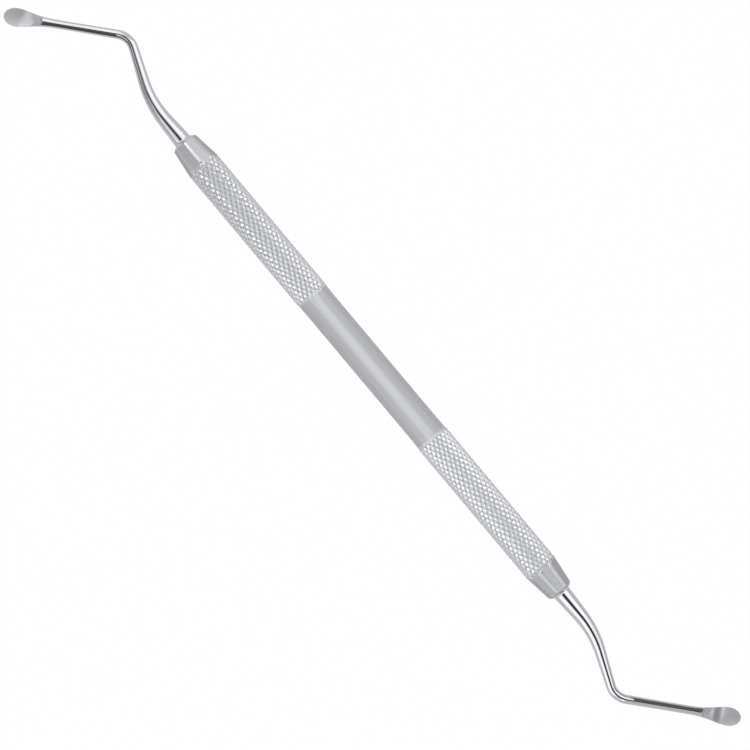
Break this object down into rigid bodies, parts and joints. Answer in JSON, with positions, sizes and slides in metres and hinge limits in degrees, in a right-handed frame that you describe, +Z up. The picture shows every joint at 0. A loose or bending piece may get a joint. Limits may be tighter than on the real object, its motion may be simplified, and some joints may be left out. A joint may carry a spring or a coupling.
{
  "type": "bone curette",
  "caption": "Bone curette with a knurled bar handle and bent, tapering polished shanks that end in small spoon bowls, for scraping and removing bone and soft tissue.",
  "frame": {"origin": "centre of the instrument's footprint, on the surface that it lies on, under the middle of the handle", "axes": "+X along the handle, +Z up, the way both bowls open, and +Y across; each working end is the other turned half a turn about Z"},
  "size_m": [0.1708, 0.0198, 0.006],
  "materials": {
    "satin_steel": "stainless steel with a fine matt satin finish",
    "polished_steel": "stainless steel polished to a mirror on the shank, with a satin bowl"
  },
  "bodies": {
    "root": {"handle": "satin_steel", "left_working_end": "polished_steel", "right_working_end": "polished_steel"}
  },
  "joints": []
}
